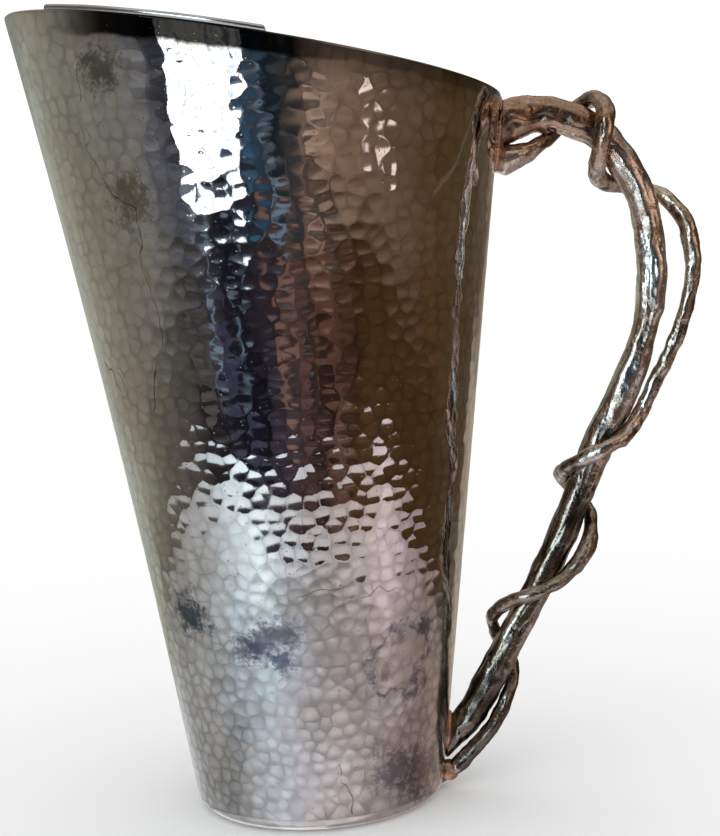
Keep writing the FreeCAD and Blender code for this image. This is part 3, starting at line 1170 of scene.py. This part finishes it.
def solder():
    """Grainy solder that has taken up copper, sooty in patches."""
    material, graph, place = new_material("solder")
    cloud = place.noise(160.0, 4.0, 0.6)
    grain = place.noise(1500.0, 4.0, 0.7)
    tint = mix(cloud.step(0.36, 0.6), (0.52, 0.44, 0.38), COPPER)
    tint = mix(cloud.step(0.56, 0.7) * 0.7, tint, BROWN_TARNISH)
    tint = mix(grain.step(0.55, 0.68) * 0.5, tint, SOOT_AND_SHADE)
    roughness = 0.24 + grain * 0.25
    height = grain * 0.00008 + cloud * 0.0004
    metal(graph, tint, roughness, height, 0.9)
    return material


# ---- Studio

# Lens and place in millimetres, how far the camera looks down and its roll in degrees; floor in metres.
LENS = 69.9
CAMERA_PLACE = (18.7, -495.6, 167.1)
CAMERA_DOWN = 5.8
CAMERA_ROLL = -3.34
FLOOR_REACH = 6.0

# What the silver mirrors: colours round the horizon, as (azimuth in degrees, red, green, blue). Azimuth 0
# is the camera's side and grows towards the handle's side. The room is brown with a dark blue corner.
FAR_END = (0.48, 0.46, 0.4)
UPPER_ROOM = (
    (-180, *FAR_END), (-155, 0.44, 0.47, 0.41), (-125, 0.29, 0.28, 0.22), (-98, 0.2, 0.19, 0.15),
    (-75, 0.19, 0.18, 0.155), (-57, 0.13, 0.13, 0.145), (-40, 0.06, 0.07, 0.09), (-9, 0.025, 0.06, 0.11),
    (0, 0.025, 0.04, 0.06), (12, 0.07, 0.06, 0.055), (22, 0.25, 0.175, 0.14), (36, 0.24, 0.16, 0.115),
    (48, 0.18, 0.12, 0.085), (60, 0.15, 0.1, 0.07), (75, 0.12, 0.077, 0.05), (95, 0.085, 0.047, 0.02),
    (128, 0.08, 0.055, 0.03), (150, 0.11, 0.085, 0.06), (165, 0.33, 0.27, 0.21), (180, *FAR_END),
)
LOWER_ROOM = (
    (-180, *FAR_END), (-155, 0.46, 0.5, 0.43), (-125, 0.2, 0.2, 0.16), (-98, 0.15, 0.14, 0.11),
    (-75, 0.09, 0.08, 0.07), (-50, 0.045, 0.04, 0.04), (-30, 0.022, 0.022, 0.04),
    (-5, 0.03, 0.022, 0.026), (12, 0.055, 0.03, 0.026), (24, 0.09, 0.047, 0.036), (36, 0.07, 0.036, 0.02),
    (55, 0.065, 0.034, 0.014), (100, 0.065, 0.035, 0.015), (128, 0.09, 0.06, 0.035),
    (148, 0.16, 0.125, 0.09), (160, 0.5, 0.42, 0.33), (180, *FAR_END),
)
FAR_TABLE = (
    (-180, 0.45, 0.45, 0.44), (-155, 0.43, 0.44, 0.44), (-125, 0.24, 0.24, 0.235), (-95, 0.27, 0.27, 0.27),
    (-70, 0.34, 0.37, 0.39), (-54, 0.47, 0.54, 0.6), (-32, 0.76, 0.92, 1.0), (-15, 0.6, 0.66, 0.74),
    (6, 0.4, 0.39, 0.4), (30, 0.38, 0.34, 0.33), (48, 0.4, 0.34, 0.34), (62, 0.51, 0.42, 0.44),
    (80, 0.3, 0.25, 0.25), (100, 0.21, 0.16, 0.15), (130, 0.25, 0.2, 0.18), (160, 0.3, 0.26, 0.22),
    (180, 0.42, 0.41, 0.39),
)
NEAR_TABLE = (
    (-180, 1.1, 1.1, 1.1), (-155, 1.2, 1.2, 1.22), (-125, 0.5, 0.49, 0.51), (-95, 0.54, 0.53, 0.55),
    (-65, 0.86, 0.85, 0.88), (-40, 0.86, 0.86, 0.94), (0, 0.92, 0.88, 0.94), (30, 1.0, 0.95, 0.98),
    (48, 0.92, 0.82, 0.85), (64, 0.57, 0.49, 0.51), (80, 0.44, 0.38, 0.39), (110, 0.47, 0.39, 0.4),
    (150, 0.4, 0.33, 0.34), (180, 0.75, 0.74, 0.73),
)
# The table's far edge, as (azimuth, its depth below the horizon in parts of DEEPEST_EDGE degrees).
DEEPEST_EDGE = 40.0
TABLE_EDGE = (
    (-180, 0.38), (-120, 0.47), (-75, 0.53), (-52, 0.57), (-42, 0.585), (-32, 0.62), (-15, 0.64),
    (20, 0.63), (42, 0.595), (50, 0.565), (58, 0.535), (68, 0.53), (120, 0.5), (180, 0.4),
)
# The window's sides, top and sill, in degrees, and small lit panes on the warm side, by azimuth.
WINDOW_LEFT, WINDOW_RIGHT = -46.0, -7.5
WINDOW_TOP, WINDOW_SILL = -9.6, -13.3
WARM_PANES = ((48.0, 51.5), (55.0, 60.0), (63.0, 64.8))


def camera():
    data = bpy.data.cameras.new("camera")
    data.lens = LENS
    data.clip_start = 0.01
    item = bpy.data.objects.new("camera", data)
    bpy.context.scene.collection.objects.link(item)
    turn = Matrix.Rotation(math.radians(90 - CAMERA_DOWN), 4, "X")
    roll = Matrix.Rotation(math.radians(CAMERA_ROLL), 4, "Z")
    item.matrix_world = Matrix.Translation(Vector(CAMERA_PLACE) * MM) @ turn @ roll
    bpy.context.scene.camera = item


def floor():
    mesh = bpy.data.meshes.new("floor")
    corners = [(x * FLOOR_REACH, y * FLOOR_REACH, 0) for x, y in ((-1, -1), (1, -1), (1, 1), (-1, 1))]
    mesh.from_pydata(corners, [], [(0, 1, 2, 3)])
    item = bpy.data.objects.new("floor", mesh)
    bpy.context.scene.collection.objects.link(item)
    material, graph, _ = new_material("pale_floor")
    shader = graph.value("ShaderNodeBsdfDiffuse", {"Color": colour(0.93)})
    graph.node("ShaderNodeOutputMaterial", {"Surface": shader})
    mesh.materials.append(material)
    item.visible_glossy = False


def by_azimuth(azimuth, stops):
    """The colour that a table of stops gives for an azimuth in degrees."""
    ramp = azimuth.graph.node("ShaderNodeValToRGB", {0: azimuth * (1 / 360) + 0.5})
    elements = ramp.color_ramp.elements
    for k, (angle, *rgb) in enumerate(stops):
        element = elements[k] if k < 2 else elements.new(1.0)
        element.position = angle / 360 + 0.5
        element.color = (*rgb, 1.0)
    return Value(azimuth.graph, ramp.outputs[0])


def brown_room(direction, azimuth, height, patch):
    """The room above the table, darker and calmer to the right, with flecks, small panes and a ceiling."""
    flatter = direction.scaled((1.0, 1.0, 4.0))
    sway = direction.scaled((1.0, 1.0, 5.0)).noise(5.0, 2.0) - 0.5
    swayed = azimuth + sway * 42.0
    brown_side = azimuth.step(22, 50) * -2.5
    upper, lower = by_azimuth(swayed, UPPER_ROOM), by_azimuth(swayed, LOWER_ROOM)
    view = mix((height + brown_side).step(-15.5, -18.5), upper, lower)

    chance = flatter.cells(6.0, "Color").parts()[0]
    cloud = flatter.noise(6.0, 2.0, 0.55) * 1.5 - 0.75
    calmer_above = azimuth + height.step(-18, -13) * 20.0
    busy = azimuth.step(-68, -48) * calmer_above.step(56, 34)
    cloud = 1.0 + cloud * (0.35 + busy * 0.65)
    view = view.scaled(cloud * (1.0 + busy * (chance * chance * 1.7 - 0.6)))
    view = mix(height.step(0.0, 5.0) * 0.4, view, 0.0)
    view = mix(patch(144, 178, -19, -7, 1.5) * 0.7, view, (0.42, 0.36, 0.29))

    flecks = flatter.noise(9.0, 0.5)
    view = mix(patch(-45, 14, -21, -12, 2) * flecks.step(0.62, 0.72), view, (0.15, 0.21, 0.28))
    view = mix(patch(-8, 40, -24, -16, 2) * flecks.step(0.38, 0.28), view, (0.2, 0.12, 0.1))
    for left, right in WARM_PANES:
        view = mix(patch(left, right, -11.6, -10.5, 0.15), view, (1.15, 0.94, 0.88))
    lamps = direction.scaled((1.0, 2.2, 1.0)).noise(4.0, 1.0).step(0.42, 0.62)
    ceiling = mix(lamps, (0.36, 0.34, 0.32), (0.8, 0.77, 0.72))
    return mix(height.step(20, 60), view, ceiling)


def with_window(view, direction, azimuth, height):
    """The tall bright window, narrower low down, with a ragged sill and faint blue panes."""
    left_edge = height.step(-13.8, -18.0) * 18.0 + WINDOW_LEFT
    right_edge = WINDOW_RIGHT - height.step(-12.2, -13.6) * 6.5
    sill = azimuth * -0.045 - direction.noise(12.0) * 7.5 + WINDOW_SILL
    window = (azimuth > left_edge) * (azimuth < right_edge) * (height > sill) * (height < WINDOW_TOP)
    panes = direction.scaled((1.0, 1.0, 4.0)).noise(30.0).step(0.5, 0.62)
    sky = mix(panes, (2.9, 3.0, 3.0), (0.85, 1.05, 1.25))
    sky = mix(height.step(-15.2, -17.0), sky, (0.74, 1.0, 1.2))
    return mix(window, view, sky)


def with_table(view, direction, azimuth, height):
    """The pale table, brighter near the foot and speckled, with an uneven far edge."""
    greys = [(angle, grey, grey, grey) for angle, grey in TABLE_EDGE]
    edge = (by_azimuth(azimuth, greys) + direction.noise(20.0, 2.0) * 0.02) * -DEEPEST_EDGE
    table = by_azimuth(azimuth, FAR_TABLE)
    table = mix(height.step(-30.2, -33.0), table, by_azimuth(azimuth, NEAR_TABLE))
    speckle = direction.scaled((1.0, 1.0, 2.0)).noise(14.0, 4.0, 0.6)
    glare = height.step(-29.0, -27.4) * 0.72 + 0.34 + speckle * 0.8
    return mix(height < edge, view, table.scaled(glare))


def room():
    """The world: mirrored rays see the room, and the camera and the matt floor a plain pale studio."""
    world = bpy.data.worlds.new("studio")
    bpy.context.scene.world = world
    world.use_nodes = True
    graph = Graph(world.node_tree)
    direction = graph.value("ShaderNodeTexCoord", output="Generated")
    x, y, z = direction.parts()
    azimuth = graph.math("ARCTAN2", x, y * -1.0) * math.degrees(1)
    height = graph.math("ARCSINE", z) * math.degrees(1)

    def patch(left, right, low, high, soft):
        return azimuth.between(left, right, soft) * height.between(low, high, soft)

    view = brown_room(direction, azimuth, height, patch)
    view = with_window(view, direction, azimuth, height)
    first_bounce = graph.value("ShaderNodeLightPath", output="Glossy Depth") < 1.5
    view = mix(patch(-46, -16, 0, 30, 0.6) * (0.2 + first_bounce * 0.8), view, (2.3, 3.0, 3.4))
    view = mix(patch(34, 66, 4, 28, 5), view, (0.95, 0.68, 0.54))
    view = with_table(view, direction, azimuth, height)

    mirrored = graph.value("ShaderNodeBackground", {"Color": view, "Strength": 1.0})
    plain = graph.value("ShaderNodeBackground", {"Color": colour(1.0), "Strength": 1.08})
    is_mirrored = graph.value("ShaderNodeLightPath", output="Is Glossy Ray")
    inputs = {0: is_mirrored, 1: plain, 2: mirrored}
    graph.node("ShaderNodeOutputWorld", {"Surface": graph.value("ShaderNodeMixShader", inputs)})


# ---- The whole scene

# Solder pieces: name, CAD node, voxel of the remesh, how much it swells and how rough it is.
SOLDER_PIECES = (
    ("guard_beads", "guard_solder_tacks", 0.2, 0.05, 0.15),
    ("vine_beads", "vine_solder_tacks", 0.2, 0.1, 0.2),
    ("root_collar", "root_solder", 0.25, 0.15, 0.25),
    ("branch_foot_collar", "branch_foot_solder", 0.2, 0.25, 0.25),
    ("vine_foot_collar", "vine_foot_solder", 0.2, 0.15, 0.2),
)


def main():
    plate, cast, joint = smooth_silver(), cast_silver(), solder()
    wall_piece(hammered_silver())
    guard_piece(plate)
    base_pieces(plate, joint)
    cast_rod("cast_branch", "handle_branch", cast, 0.55, branch_shape)
    cast_rod("cast_vine", "handle_vine", cast, 0.45, vine_shape)
    for name, node, voxel, swell, rough in SOLDER_PIECES:
        soldered(name, node, joint, voxel, swell, rough)
    floor()
    room()
    camera()
    bpy.context.scene.view_settings.view_transform = "Standard"


main()
